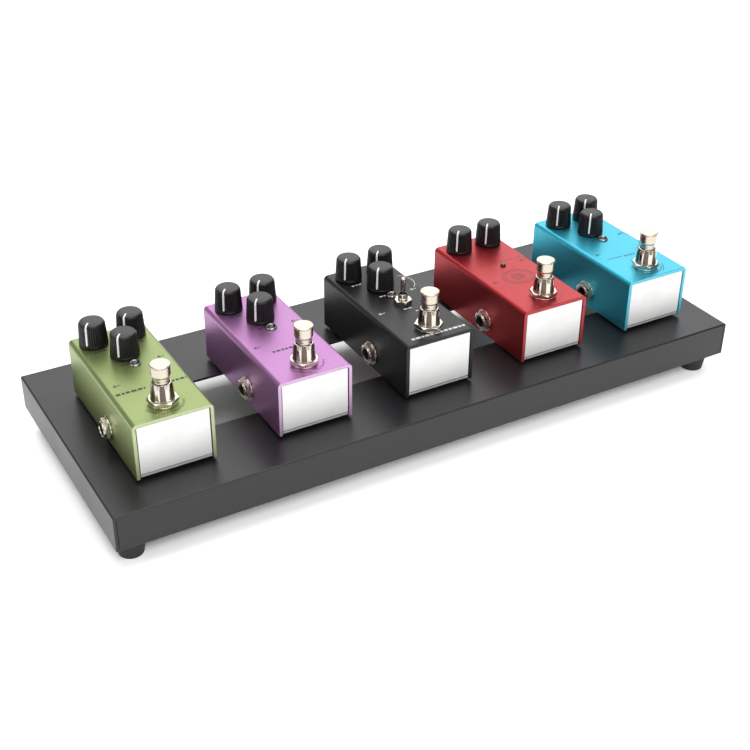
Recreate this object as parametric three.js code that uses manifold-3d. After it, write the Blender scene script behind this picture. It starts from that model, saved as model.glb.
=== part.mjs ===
// A folded-metal pedalboard with five mini effect pedals on it.
// Millimetres, +X along the board, +Y from front to back, +Z up; the feet stand on z = 0.
import * as THREE from "three";
import { mergeVertices } from "three/addons/utils/BufferGeometryUtils.js";
import Module from "manifold-3d";

const wasm = await Module();
wasm.setup();

// Board: one tray folded from sheet, open below, with a cable slot and four rubber feet.
const BOARD = {
  length: 382,
  depth: 146,
  flange: 20,
  sheet: 1.5,
  foldRadius: 1,
  cornerRadius: 0.4,
  cornerSeam: 0.3,
  lip: 25,
};
const SLOT = { length: 300, front: -24, back: 22, cornerRadius: 5 };
const FOOT = { height: 12.5, radius: 6.9, topRadius: 8.3, chamfer: 0.8, fromEnd: 11, fromFront: 12.5 };

// Pedal case, measured from the front bottom edge of its centre line.
const CASE = { width: 42.4, depth: 93, height: 31.7, wall: 2, edgeRadius: 2.6, innerChamfer: 0.6 };
const CASE_FRONT_Y = -52.3;
const PAD = { width: 30, front: 12, back: 81, height: 1.5 };
const CHASSIS = { sheet: 1.5, inset: 0.5, bendRadius: 1.9 };
const CLEARANCE = 0.3;

// Controls on the top of a case: x from the centre line, y from the front.
const KNOB = {
  radius: 7.7,
  topRadius: 6.8,
  crownRadius: 5.5,
  height: 13.9,
  domeHeight: 1.3,
  fluteDepth: 0.4,
  lift: 0.5,
};
const KNOB_FLUTES = 11;
const POINTER = { width: 0.9, height: 0.35 };
const REST_POINTER_ANGLE = (-135 * Math.PI) / 180;
const SHAFT = { radius: 3, hole: 3.5, socket: 3.3, depth: 6 };
const BACK_KNOB = { x: 10.3, y: 83 };
const FRONT_KNOB_Y = 64.4;
const POT = { width: 9.6, height: 6.5, socketDepth: 5.2 };
const SWITCH_Y = 12.5;
const LED = { x: 1, y: 53.2, radius: 1.5, hole: 1.8, rise: 1.6, crown: 1, crownRadius: 1.1 };
const BEZEL = { radius: 3.2, flange: 1, sleeve: 2.6, hole: 2.9, bore: 1.8, depth: 3.5, chamfer: 0.5 };

// Footswitch: heights are measured from the top of the case.
const SWITCH = {
  bushing: 6.1,
  bushingFlare: 6.7,
  bushingShoulder: 6.1,
  bushingTopRadius: 4.9,
  bushingHole: 6.4,
  shoulderHeight: 9.3,
  bushingTop: 12.2,
  bore: 4.4,
  boreDepth: 8,
  boxWidth: 16.4,
  boxDepth: 17,
  boxHeight: 14,
  nutFlats: 14,
  nutHeight: 2.2,
  washerRadius: 7.2,
  washerHeight: 0.8,
};
const PLUNGER = {
  stem: 4,
  stemBottom: -3.5,
  stemTop: 15.2,
  barrel: 4.85,
  barrelBottom: 15.8,
  barrelTop: 21.2,
  head: 5.2,
  headBottom: 21.5,
  headTop: 22,
  crown: 4.9,
  crownHeight: 0.2,
  top: 22.4,
};

// Toggle switch of the black pedal: heights are measured from the top of the case.
const TOGGLE = {
  x: 2,
  y: 43,
  bushing: 2.7,
  bushingHole: 3,
  bushingTop: 6,
  nutFlats: 8,
  nutHeight: 2.2,
  boxWidth: 8,
  boxHeight: 6,
  pivot: 1.5,
  boreTop: 2.1,
  boreWaist: 1.5,
  boreFoot: 1.9,
  boreDepth: 1.8,
};
const LEVER = { radius: 1.15, tipRadius: 1.4, foot: -1, neck: 6.6, shoulder: 7.2, tip: 15.2, top: 15.6 };

// Jack sockets on the sides: the left one is nearer the front, so the two bodies pass each other.
const JACK = {
  z: 9.4,
  leftY: 37,
  rightY: 54,
  thread: 4.7,
  hole: 5,
  proud: 4.1,
  bore: 3.3,
  boreDepth: 21,
  bodyWidth: 13,
  bodyDepth: 22,
  nutFlats: 11.2,
  nutHeight: 2.1,
  washerRadius: 6.6,
  washerHeight: 0.8,
};

// Circuit board inside a case, with the power inlet on its back end.
const BOARD_INSIDE = { width: 35.6, front: 24, back: 89.5, bottom: 21.3, thickness: 1.6 };
const INLET = {
  width: 9.4,
  height: 11,
  depth: 13,
  nose: 5.2,
  hole: 5.6,
  bore: 3,
  boreDepth: 9,
  pin: 1.05,
  pinSetback: 1,
};

const TINY_SEGMENTS = 8;
const SMALL_SEGMENTS = 12;
const ROUND_SEGMENTS = 16;
const HEX_SIDES = 6;
const BEND_SEGMENTS = 3;
// How far joined solids run into each other, and how far a cutter runs past a face.
const OVERLAP = 0.4;
const OVERSHOOT = 1;
// Points closer than this are one point.
const WELD_DISTANCE = 1e-4;

const DECK_TOP = FOOT.height + BOARD.flange;
const CASE_BOTTOM = DECK_TOP + PAD.height;
const INNER_TOP = CASE.height - CASE.wall;
const WORKS_TOP = INNER_TOP - CLEARANCE;
const SIDE_X = CASE.width / 2;

// Pedals from left to right: where each stands and what it carries.
const PEDALS = [
  { name: "green", x: -149.5, knobs: 3, bezel: true, colour: "#9db44e" },
  { name: "purple", x: -72.5, knobs: 3, bezel: true, colour: "#a85fc4" },
  { name: "black", x: 2.5, knobs: 3, bezel: true, toggle: true, colour: "#232325" },
  { name: "red", x: 78, knobs: 2, colour: "#b3222c" },
  { name: "cyan", x: 151.5, knobs: 3, bezel: true, colour: "#20a5c0" },
];

const group = new THREE.Group();

// ---- materials ----

function material(colour, roughness, metalness) {
  return new THREE.MeshStandardMaterial({ color: colour, roughness, metalness });
}

const materials = {
  sheet: () => material("#2c2c2f", 0.55, 0.3),
  rubber: () => material("#151516", 0.85, 0),
  cover: (colour) => material(colour, 0.4, 0.45),
  bareMetal: () => material("#cfcfd2", 0.35, 0.9),
  nickel: () => material("#d8d3ca", 0.18, 1),
  knob: () => material("#1a1a1c", 0.4, 0),
  circuit: () => material("#1f5b3a", 0.6, 0.1),
};

// ---- solids ----

function toSolid(geometry) {
  const bare = new THREE.BufferGeometry();
  bare.setAttribute("position", geometry.getAttribute("position"));
  bare.setIndex(geometry.getIndex());
  const merged = mergeVertices(bare, WELD_DISTANCE);
  return new wasm.Manifold(
    new wasm.Mesh({
      numProp: 3,
      vertProperties: new Float32Array(merged.getAttribute("position").array),
      triVerts: new Uint32Array(merged.getIndex().array),
    }),
  );
}

function toGeometry(solid) {
  const mesh = solid.getMesh();
  const geometry = new THREE.BufferGeometry();
  geometry.setAttribute("position", new THREE.BufferAttribute(mesh.vertProperties, mesh.numProp));
  geometry.setIndex(new THREE.BufferAttribute(mesh.triVerts, 1));
  geometry.computeVertexNormals();
  return geometry;
}

// A box given by its two opposite corners.
function box(x0, x1, y0, y1, z0, z1) {
  const geometry = new THREE.BoxGeometry(x1 - x0, y1 - y0, z1 - z0);
  geometry.translate((x0 + x1) / 2, (y0 + y1) / 2, (z0 + z1) / 2);
  return toSolid(geometry);
}

// A solid turned about Z from [radius, height] points that start and end on the axis.
function turned(profile, segments) {
  const points = profile.map(([radius, height]) => new THREE.Vector2(radius, height));
  const geometry = new THREE.LatheGeometry(points, segments);
  geometry.rotateX(Math.PI / 2);
  return toSolid(geometry);
}

function cylinder(radius, z0, z1, segments = SMALL_SEGMENTS) {
  return turned([[0, z0], [radius, z0], [radius, z1], [0, z1]], segments);
}

// A hexagonal prism given by the distance across its flats.
function hexagon(flats, z0, z1) {
  return cylinder(flats / Math.sqrt(3), z0, z1, HEX_SIDES);
}

// A solid through closed loops of equal length, each lying at one height, lowest first.
function loft(loops) {
  const count = loops[0].length;
  const positions = loops.flatMap((loop) => loop.flat());
  const index = [];
  for (let level = 0; level + 1 < loops.length; level++) {
    for (let i = 0; i < count; i++) {
      const a = level * count + i;
      const b = level * count + ((i + 1) % count);
      index.push(a, b, b + count, a, b + count, a + count);
    }
  }
  const addCap = (level, faceUp) => {
    const centre = positions.length / 3;
    positions.push(0, 0, loops[level][0][2]);
    for (let i = 0; i < count; i++) {
      const a = level * count + i;
      const b = level * count + ((i + 1) % count);
      index.push(...(faceUp ? [centre, a, b] : [centre, b, a]));
    }
  };
  addCap(0, false);
  addCap(loops.length - 1, true);
  const geometry = new THREE.BufferGeometry();
  geometry.setAttribute("position", new THREE.Float32BufferAttribute(positions, 3));
  geometry.setIndex(index);
  return toSolid(geometry);
}

// A flat outline drawn in the XY plane and pushed along Z.
function extruded(shape, depth) {
  const options = { depth, bevelEnabled: false, curveSegments: BEND_SEGMENTS };
  return toSolid(new THREE.ExtrudeGeometry(shape, options));
}

function unite(solids) {
  return solids.reduce((sum, solid) => sum.add(solid));
}

function cut(solid, tools) {
  return tools.reduce((left, tool) => left.subtract(tool), solid);
}

function addPiece(name, solid, surface, place = [0, 0, 0]) {
  const mesh = new THREE.Mesh(toGeometry(solid), surface);
  mesh.name = name;
  mesh.position.set(...place);
  group.add(mesh);
}

// ---- board ----

// A rounded rectangle centred on the origin as a closed loop at height z.
function rectangleLoop(length, depth, radius, z) {
  const corners = [[1, 1], [-1, 1], [-1, -1], [1, -1]];
  const steps = 2;
  return corners.flatMap(([sx, sy], quarter) =>
    Array.from({ length: steps + 1 }, (_, i) => {
      const angle = ((quarter + i / steps) * Math.PI) / 2;
      return [
        sx * (length / 2 - radius) + radius * Math.cos(angle),
        sy * (depth / 2 - radius) + radius * Math.sin(angle),
        z,
      ];
    }),
  );
}

// The outside of the tray, with the fold rounded along the four top edges.
function trayBlock() {
  const { length, depth, foldRadius, cornerRadius } = BOARD;
  const loops = [rectangleLoop(length, depth, cornerRadius, FOOT.height)];
  for (let i = 0; i <= BEND_SEGMENTS; i++) {
    const angle = (i / BEND_SEGMENTS) * (Math.PI / 2);
    const inset = foldRadius * (1 - Math.cos(angle));
    const z = DECK_TOP - foldRadius * (1 - Math.sin(angle));
    loops.push(rectangleLoop(length - 2 * inset, depth - 2 * inset, cornerRadius, z));
  }
  return loft(loops);
}

function trayHollow() {
  const x = BOARD.length / 2 - BOARD.sheet;
  const y = BOARD.depth / 2 - BOARD.sheet;
  return box(-x, x, -y, y, FOOT.height - OVERSHOOT, DECK_TOP - BOARD.sheet);
}

// The open seam where the front or back flange meets an end flange.
function cornerSeam(sx, sy) {
  const outer = BOARD.length / 2 - BOARD.sheet;
  const xs = [sx * outer, sx * (outer - BOARD.cornerSeam)].sort((a, b) => a - b);
  const reach = BOARD.depth / 2;
  const ys = [sy * (reach - 2 * BOARD.sheet), sy * (reach + OVERSHOOT)].sort((a, b) => a - b);
  return box(...xs, ...ys, FOOT.height - OVERSHOOT, DECK_TOP - BOARD.sheet - BOARD.cornerSeam);
}

function slotCutter() {
  const x = SLOT.length / 2;
  const r = SLOT.cornerRadius;
  const shape = new THREE.Shape();
  shape.moveTo(-x + r, SLOT.front);
  shape.lineTo(x - r, SLOT.front);
  shape.absarc(x - r, SLOT.front + r, r, -Math.PI / 2, 0);
  shape.lineTo(x, SLOT.back - r);
  shape.absarc(x - r, SLOT.back - r, r, 0, Math.PI / 2);
  shape.lineTo(-x + r, SLOT.back);
  shape.absarc(-x + r, SLOT.back - r, r, Math.PI / 2, Math.PI);
  shape.lineTo(-x, SLOT.front + r);
  shape.absarc(-x + r, SLOT.front + r, r, Math.PI, (3 * Math.PI) / 2);
  const height = BOARD.sheet + 2 * OVERSHOOT;
  return extruded(shape, height).translate([0, 0, DECK_TOP - BOARD.sheet - OVERSHOOT]);
}

// Inward lip at one end of the tray, where that end's two feet are fixed.
function endLip(side) {
  const outer = side * (BOARD.length / 2 - OVERLAP);
  const xs = [outer, outer - side * BOARD.lip].sort((a, b) => a - b);
  const y = BOARD.depth / 2 - BOARD.sheet - BOARD.cornerSeam;
  return box(...xs, -y, y, FOOT.height, FOOT.height + BOARD.sheet);
}

function tray() {
  const seams = [[1, 1], [-1, 1], [-1, -1], [1, -1]].map(([sx, sy]) => cornerSeam(sx, sy));
  const shell = cut(trayBlock(), [trayHollow(), slotCutter(), ...seams]);
  return unite([shell, endLip(-1), endLip(1)]);
}

function foot() {
  const top = FOOT.height - CLEARANCE;
  const profile = [
    [0, 0],
    [FOOT.radius - FOOT.chamfer, 0],
    [FOOT.radius, FOOT.chamfer],
    [FOOT.topRadius, top],
    [0, top],
  ];
  return turned(profile, ROUND_SEGMENTS);
}

function addBoard() {
  addPiece("board_tray", tray(), materials.sheet());
  const x = BOARD.length / 2 - FOOT.fromEnd;
  const y = BOARD.depth / 2 - FOOT.fromFront;
  for (const [side, sx] of [["left", -1], ["right", 1]]) {
    for (const [end, sy] of [["front", -1], ["back", 1]]) {
      addPiece(`foot_${end}_${side}`, foot(), materials.rubber(), [sx * x, sy * y, 0]);
    }
  }
}

// ---- pedal case ----

function knobPlaces(pedal) {
  const places = [
    { side: "left", x: -BACK_KNOB.x, y: BACK_KNOB.y },
    { side: "right", x: BACK_KNOB.x, y: BACK_KNOB.y },
  ];
  if (pedal.knobs === 3) {
    places.push({ side: "front", x: 0, y: FRONT_KNOB_Y });
  }
  return places;
}

// The inverted-U outline of the cover, drawn with x across the case and y as height.
function coverOutline() {
  const x = SIDE_X;
  const r = CASE.edgeRadius;
  const q = CASE.innerChamfer;
  const xi = x - CASE.wall;
  const shape = new THREE.Shape();
  shape.moveTo(x, 0);
  shape.lineTo(x, CASE.height - r);
  shape.absarc(x - r, CASE.height - r, r, 0, Math.PI / 2);
  shape.lineTo(-x + r, CASE.height);
  shape.absarc(-x + r, CASE.height - r, r, Math.PI / 2, Math.PI);
  shape.lineTo(-x, 0);
  shape.lineTo(-xi, 0);
  shape.lineTo(-xi, INNER_TOP - q);
  shape.lineTo(-xi + q, INNER_TOP);
  shape.lineTo(xi - q, INNER_TOP);
  shape.lineTo(xi, INNER_TOP - q);
  shape.lineTo(xi, 0);
  return shape;
}

// A hole straight down through the top of the case.
function topHole(x, y, radius, segments) {
  return cylinder(radius, INNER_TOP - OVERSHOOT, CASE.height + OVERSHOOT, segments).translate([x, y, 0]);
}

// A hole through the left (-1) or right (+1) side of the case.
function sideHole(side, y) {
  const across = cylinder(JACK.hole, SIDE_X - CASE.wall - OVERSHOOT, SIDE_X + OVERSHOOT);
  return across.rotate([0, side * 90, 0]).translate([0, y, JACK.z]);
}

function cover(pedal) {
  const shell = extruded(coverOutline(), CASE.depth).rotate([90, 0, 0]).translate([0, CASE.depth, 0]);
  const holes = knobPlaces(pedal).map((knob) => topHole(knob.x, knob.y, SHAFT.hole));
  holes.push(topHole(0, SWITCH_Y, SWITCH.bushingHole, ROUND_SEGMENTS));
  holes.push(topHole(LED.x, LED.y, pedal.bezel ? BEZEL.hole : LED.hole, TINY_SEGMENTS));
  if (pedal.toggle) {
    holes.push(topHole(TOGGLE.x, TOGGLE.y, TOGGLE.bushingHole));
  }
  holes.push(sideHole(-1, JACK.leftY), sideHole(1, JACK.rightY));
  return cut(shell, holes);
}

// The U outline of the chassis, drawn with x as depth along the case and y as height.
function chassisOutline() {
  const front = CHASSIS.inset;
  const back = CASE.depth - CHASSIS.inset;
  const r = CHASSIS.bendRadius;
  const t = CHASSIS.sheet;
  const inner = r - t;
  const shape = new THREE.Shape();
  shape.moveTo(front, WORKS_TOP);
  shape.lineTo(front, r);
  shape.absarc(front + r, r, r, Math.PI, (3 * Math.PI) / 2);
  shape.lineTo(back - r, 0);
  shape.absarc(back - r, r, r, -Math.PI / 2, 0);
  shape.lineTo(back, WORKS_TOP);
  shape.lineTo(back - t, WORKS_TOP);
  shape.lineTo(back - t, r);
  shape.absarc(back - r, r, inner, 0, -Math.PI / 2, true);
  shape.lineTo(front + r, t);
  shape.absarc(front + r, r, inner, (3 * Math.PI) / 2, Math.PI, true);
  shape.lineTo(front + t, WORKS_TOP);
  return shape;
}

// Base and both end plates bent from one sheet, with the hook-and-loop pad stuck below.
function chassis() {
  const half = SIDE_X - CASE.wall - CLEARANCE;
  const sheet = extruded(chassisOutline(), 2 * half).rotate([90, 0, 90]).translate([-half, 0, 0]);
  const backFace = CASE.depth - CHASSIS.inset;
  const inletHole = cylinder(INLET.hole, backFace - CHASSIS.sheet - OVERSHOOT, backFace + OVERSHOOT)
    .rotate([-90, 0, 0])
    .translate([0, 0, inletHeight()]);
  const padX = PAD.width / 2;
  const pad = box(-padX, padX, PAD.front, PAD.back, CLEARANCE - PAD.height, OVERLAP);
  return unite([cut(sheet, [inletHole]), pad]);
}

// ---- controls ----

// One fluted ring of the knob: ridges and grooves take turns round the loop.
function fluteLoop(radius, depth, z) {
  return Array.from({ length: 2 * KNOB_FLUTES }, (_, i) => {
    const angle = (i / KNOB_FLUTES) * Math.PI + REST_POINTER_ANGLE;
    const r = radius - (i % 2) * depth;
    return [r * Math.cos(angle), r * Math.sin(angle), z];
  });
}

// Knob with the shaft it is fixed on; its pointer line starts at the front left.
function knob() {
  const rimZ = KNOB.lift + KNOB.height - KNOB.domeHeight;
  const top = KNOB.lift + KNOB.height;
  const body = loft([
    fluteLoop(KNOB.radius, KNOB.fluteDepth, KNOB.lift),
    fluteLoop(KNOB.topRadius, KNOB.fluteDepth, rimZ),
    fluteLoop(KNOB.crownRadius, 0, top),
  ]);
  const shaft = cylinder(SHAFT.radius, -SHAFT.depth, KNOB.lift + OVERLAP, TINY_SEGMENTS);
  const halfLine = POINTER.width / 2;
  const line = box(0, KNOB.topRadius, -halfLine, halfLine, rimZ, top + POINTER.height);
  const turn = (REST_POINTER_ANGLE * 180) / Math.PI;
  return unite([body, shaft, line.rotate([0, 0, turn])]);
}

function switchPlunger() {
  const p = PLUNGER;
  const profile = [
    [0, p.stemBottom],
    [p.stem, p.stemBottom],
    [p.stem, p.stemTop],
    [p.barrel, p.barrelBottom],
    [p.barrel, p.barrelTop],
    [p.head, p.headBottom],
    [p.head, p.headTop],
    [p.crown, p.headTop + p.crownHeight],
    [0, p.top],
  ];
  return turned(profile, ROUND_SEGMENTS);
}

// Footswitch body: box below the top, tapered bushing through it, washer and hexagonal nut above.
function switchBody() {
  const s = SWITCH;
  const boxTop = -CASE.wall - CLEARANCE;
  const washerTop = CLEARANCE + s.washerHeight;
  const bushing = turned(
    [
      [0, boxTop - OVERLAP],
      [s.bushing, boxTop - OVERLAP],
      [s.bushing, washerTop],
      [s.bushingFlare, washerTop + s.nutHeight],
      [s.bushingShoulder, s.shoulderHeight],
      [s.bushingTopRadius, s.bushingTop],
      [0, s.bushingTop],
    ],
    ROUND_SEGMENTS,
  );
  const washer = cylinder(s.washerRadius, CLEARANCE, washerTop, ROUND_SEGMENTS);
  const nut = hexagon(s.nutFlats, washerTop - OVERLAP, washerTop + s.nutHeight);
  const halfX = s.boxWidth / 2;
  const halfY = s.boxDepth / 2;
  const body = box(-halfX, halfX, -halfY, halfY, boxTop - s.boxHeight, boxTop);
  const bore = cylinder(s.bore, -s.boreDepth, s.bushingTop + OVERSHOOT, ROUND_SEGMENTS);
  return cut(unite([body, bushing, washer, nut]), [bore]);
}

function toggleBody() {
  const t = TOGGLE;
  const boxTop = -CASE.wall - CLEARANCE;
  const half = t.boxWidth / 2;
  const body = box(-half, half, -half, half, boxTop - t.boxHeight, boxTop);
  const bushing = cylinder(t.bushing, boxTop - OVERLAP, t.bushingTop);
  const nut = hexagon(t.nutFlats, CLEARANCE, CLEARANCE + t.nutHeight);
  const bore = turned(
    [
      [0, -t.boreDepth],
      [t.boreFoot, -t.boreDepth],
      [t.boreWaist, t.pivot],
      [t.boreTop, t.bushingTop],
      [t.boreTop, t.bushingTop + OVERSHOOT],
      [0, t.bushingTop + OVERSHOOT],
    ],
    SMALL_SEGMENTS,
  );
  return cut(unite([body, bushing, nut]), [bore]);
}

function toggleLever() {
  const profile = [
    [0, LEVER.foot],
    [LEVER.radius, LEVER.foot],
    [LEVER.radius, LEVER.neck],
    [LEVER.tipRadius, LEVER.shoulder],
    [LEVER.tipRadius, LEVER.tip],
    [LEVER.radius, LEVER.top],
    [0, LEVER.top],
  ];
  return turned(profile, SMALL_SEGMENTS);
}

function ledBezel() {
  const b = BEZEL;
  const top = CLEARANCE + b.flange;
  const flange = turned(
    [[0, CLEARANCE], [b.radius, CLEARANCE], [b.radius - b.chamfer, top], [0, top]],
    ROUND_SEGMENTS,
  );
  const sleeve = cylinder(b.sleeve, -b.depth, CLEARANCE + OVERLAP);
  const bore = cylinder(b.bore, -b.depth - OVERSHOOT, top + OVERSHOOT, TINY_SEGMENTS);
  return cut(unite([flange, sleeve]), [bore]);
}

// Jack socket along Z with its mouth up and z = 0 on the outside of the case wall.
function jack() {
  const j = JACK;
  const bodyTop = -CASE.wall - CLEARANCE;
  const half = j.bodyWidth / 2;
  const body = box(-half, half, -half, half, bodyTop - j.bodyDepth, bodyTop);
  const thread = cylinder(j.thread, bodyTop - OVERLAP, j.proud);
  const washerTop = CLEARANCE + j.washerHeight;
  const washer = cylinder(j.washerRadius, CLEARANCE, washerTop);
  const nut = hexagon(j.nutFlats, washerTop - OVERLAP, washerTop + j.nutHeight);
  return cut(unite([body, thread, washer, nut]), [cylinder(j.bore, -j.boreDepth, j.proud + OVERSHOOT)]);
}

// ---- circuit board ----

function inletHeight() {
  return BOARD_INSIDE.bottom - INLET.height / 2;
}

// Power inlet below the board, its round nose in the hole of the back plate.
function inlet() {
  const back = CASE.depth - CHASSIS.inset;
  const blockBack = back - CHASSIS.sheet - CLEARANCE;
  const half = INLET.width / 2;
  const top = BOARD_INSIDE.bottom + OVERLAP;
  const block = box(-half, half, blockBack - INLET.depth, blockBack, top - INLET.height, top);
  const along = (radius, y0, y1, segments) =>
    cylinder(radius, y0, y1, segments).rotate([-90, 0, 0]).translate([0, 0, inletHeight()]);
  const nose = along(INLET.nose, blockBack - OVERLAP, back);
  const bore = along(INLET.bore, back - INLET.boreDepth, back + OVERSHOOT);
  const pin = along(INLET.pin, back - INLET.boreDepth - OVERLAP, back - INLET.pinSetback, TINY_SEGMENTS);
  return unite([cut(unite([block, nose]), [bore]), pin]);
}

// Potentiometer body with the socket its shaft turns in.
function pot(knobPlace) {
  const { x, y } = knobPlace;
  const half = POT.width / 2;
  const bottom = WORKS_TOP - POT.height - OVERLAP;
  const body = box(x - half, x + half, y - half, y + half, bottom, WORKS_TOP);
  const socket = cylinder(SHAFT.socket, WORKS_TOP - POT.socketDepth, WORKS_TOP + OVERSHOOT);
  return cut(body, [socket.translate([x, y, 0])]);
}

function circuitBoard(pedal) {
  const b = BOARD_INSIDE;
  const top = b.bottom + b.thickness;
  const slab = box(-b.width / 2, b.width / 2, b.front, b.back, b.bottom, top);
  const ledTop = CASE.height + LED.rise;
  const led = turned(
    [
      [0, top - OVERLAP],
      [LED.radius, top - OVERLAP],
      [LED.radius, ledTop - LED.crown],
      [LED.crownRadius, ledTop],
      [0, ledTop],
    ],
    TINY_SEGMENTS,
  );
  const pots = knobPlaces(pedal).map(pot);
  return unite([slab, inlet(), led.translate([LED.x, LED.y, 0]), ...pots]);
}

// ---- one pedal ----

function addJack(pedal, side, y, name) {
  const place = [pedal.x + side * SIDE_X, CASE_FRONT_Y + y, CASE_BOTTOM + JACK.z];
  addPiece(`${pedal.name}_${name}`, jack().rotate([0, side * 90, 0]), materials.nickel(), place);
}

function addPedal(pedal) {
  const onCase = (x, y, z) => [pedal.x + x, CASE_FRONT_Y + y, CASE_BOTTOM + z];
  const onTop = (x, y) => onCase(x, y, CASE.height);
  const add = (name, solid, surface, place) => addPiece(`${pedal.name}_${name}`, solid, surface, place);
  add("cover", cover(pedal), materials.cover(pedal.colour), onCase(0, 0, 0));
  add("chassis", chassis(), materials.bareMetal(), onCase(0, 0, 0));
  add("circuit_board", circuitBoard(pedal), materials.circuit(), onCase(0, 0, 0));
  for (const place of knobPlaces(pedal)) {
    add(`knob_${place.side}`, knob(), materials.knob(), onTop(place.x, place.y));
  }
  add("footswitch_body", switchBody(), materials.nickel(), onTop(0, SWITCH_Y));
  add("footswitch_plunger", switchPlunger(), materials.nickel(), onTop(0, SWITCH_Y));
  addJack(pedal, -1, JACK.leftY, "jack_left");
  addJack(pedal, 1, JACK.rightY, "jack_right");
  if (pedal.bezel) {
    add("led_bezel", ledBezel(), materials.nickel(), onTop(LED.x, LED.y));
  }
  if (pedal.toggle) {
    add("toggle_body", toggleBody(), materials.nickel(), onTop(TOGGLE.x, TOGGLE.y));
    add("toggle_lever", toggleLever(), materials.nickel(), onTop(TOGGLE.x, TOGGLE.y));
  }
}

addBoard();
PEDALS.forEach(addPedal);

export default group;
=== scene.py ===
import math

import bmesh
import bpy
from mathutils import Matrix, Vector


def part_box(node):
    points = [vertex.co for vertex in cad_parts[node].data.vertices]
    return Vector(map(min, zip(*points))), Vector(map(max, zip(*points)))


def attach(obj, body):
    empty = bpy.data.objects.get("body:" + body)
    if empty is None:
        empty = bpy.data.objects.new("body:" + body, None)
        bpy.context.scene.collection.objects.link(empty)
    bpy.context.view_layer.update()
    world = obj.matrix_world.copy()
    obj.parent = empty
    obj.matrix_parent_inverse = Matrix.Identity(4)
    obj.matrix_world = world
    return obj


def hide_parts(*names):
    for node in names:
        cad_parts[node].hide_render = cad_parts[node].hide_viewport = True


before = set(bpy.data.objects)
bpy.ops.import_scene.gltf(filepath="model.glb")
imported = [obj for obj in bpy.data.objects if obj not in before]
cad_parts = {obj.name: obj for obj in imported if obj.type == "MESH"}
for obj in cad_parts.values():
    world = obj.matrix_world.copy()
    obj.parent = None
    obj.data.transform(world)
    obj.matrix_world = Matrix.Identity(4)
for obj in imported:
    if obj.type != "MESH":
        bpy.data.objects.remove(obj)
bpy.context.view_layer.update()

MM = 0.001
SEGMENTS = 64
ARC_STEPS = 6
SCENE = bpy.context.scene
COLOURS = ("green", "purple", "black", "red", "cyan")

# ---- shapes: (points, faces) pairs ----


def rounded(corners, closed=False, steps=ARC_STEPS):
    """A path through (x, y) or (x, y, fillet) corners, each fillet drawn as an arc."""
    path = []
    count = len(corners)
    for i, (x, y, *fillet) in enumerate(corners):
        if not fillet or (not closed and i in (0, count - 1)):
            path.append((x, y))
            continue
        here = Vector((x, y))
        before = (Vector(corners[i - 1][:2]) - here).normalized()
        after = (Vector(corners[(i + 1) % count][:2]) - here).normalized()
        half = before.angle(after) / 2
        centre = here + (before + after).normalized() * (fillet[0] / math.sin(half))
        reach = fillet[0] / math.tan(half)
        start = here + before * reach - centre
        end = here + after * reach - centre
        first = math.atan2(start.y, start.x)
        sweep = math.remainder(math.atan2(end.y, end.x) - first, math.tau)
        for k in range(steps + 1):
            angle = first + sweep * k / steps
            path.append((centre.x + fillet[0] * math.cos(angle), centre.y + fillet[0] * math.sin(angle)))
    return path


def lathe(profile, segments=SEGMENTS, closed=False, ripple=None):
    """A surface turned about Z from (radius, height) points; ripple may change each point's radius."""
    points, faces, rings = [], [], []
    for radius, height in profile:
        if radius < 1e-6:
            rings.append([len(points)])
            points.append((0, 0, height))
            continue
        rings.append(range(len(points), len(points) + segments))
        for i in range(segments):
            angle = math.tau * i / segments
            r = ripple(angle, radius, height) if ripple else radius
            points.append((r * math.cos(angle), r * math.sin(angle), height))
    pairs = list(zip(rings, rings[1:])) + ([(rings[-1], rings[0])] if closed else [])
    for low, high in pairs:
        for i in range(segments):
            j = (i + 1) % segments
            if len(low) == 1:
                faces.append((low[0], high[j], high[i]))
            elif len(high) == 1:
                faces.append((low[i], low[j], high[0]))
            else:
                faces.append((low[i], low[j], high[j], high[i]))
    return points, faces


def loft(loops):
    """A closed solid through loops of equal length, lowest first."""
    count = len(loops[0])
    points = [p for loop in loops for p in loop]
    faces = [tuple(reversed(range(count)))]
    for level in range(len(loops) - 1):
        for i in range(count):
            a, b = level * count + i, level * count + (i + 1) % count
            faces.append((a, b, b + count, a + count))
    faces.append(tuple(range(len(points) - count, len(points))))
    return points, faces


def prism(outline, low, high):
    return loft([[(x, y, z) for x, y in outline] for z in (low, high)])


def block(x0, x1, y0, y1, z0, z1, radius=0.0):
    """A box with its four upright edges rounded."""
    corners = [(x0, y0), (x1, y0), (x1, y1), (x0, y1)]
    if radius:
        corners = rounded([(x, y, radius) for x, y in corners], closed=True)
    return prism(corners, z0, z1)


def rod(radius, low, high):
    return lathe([(0, low), (radius, low), (radius, high), (0, high)])


def hexagon(flats, low, high, turn=0.0):
    reach = flats / math.sqrt(3)
    angles = [math.radians(turn + 60 * i) for i in range(6)]
    return prism([(reach * math.cos(a), reach * math.sin(a)) for a in angles], low, high)


def carried(shape, matrix):
    points, faces = shape
    return [tuple(matrix @ Vector(p)) for p in points], faces


def shifted(shape, x=0.0, y=0.0, z=0.0):
    return carried(shape, Matrix.Translation((x, y, z)))


# ---- meshes ----


def mesh_of(*shapes):
    """One mesh, in metres, with its faces turned outwards."""
    mesh = bpy.data.meshes.new("part")
    points, faces = [], []
    for shape_points, shape_faces in shapes:
        start = len(points)
        points.extend(Vector(p) * MM for p in shape_points)
        faces.extend(tuple(start + i for i in face) for face in shape_faces)
    mesh.from_pydata(points, [], faces)
    work = bmesh.new()
    work.from_mesh(mesh)
    bmesh.ops.recalc_face_normals(work, faces=work.faces)
    work.to_mesh(mesh)
    work.free()
    return mesh


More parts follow.
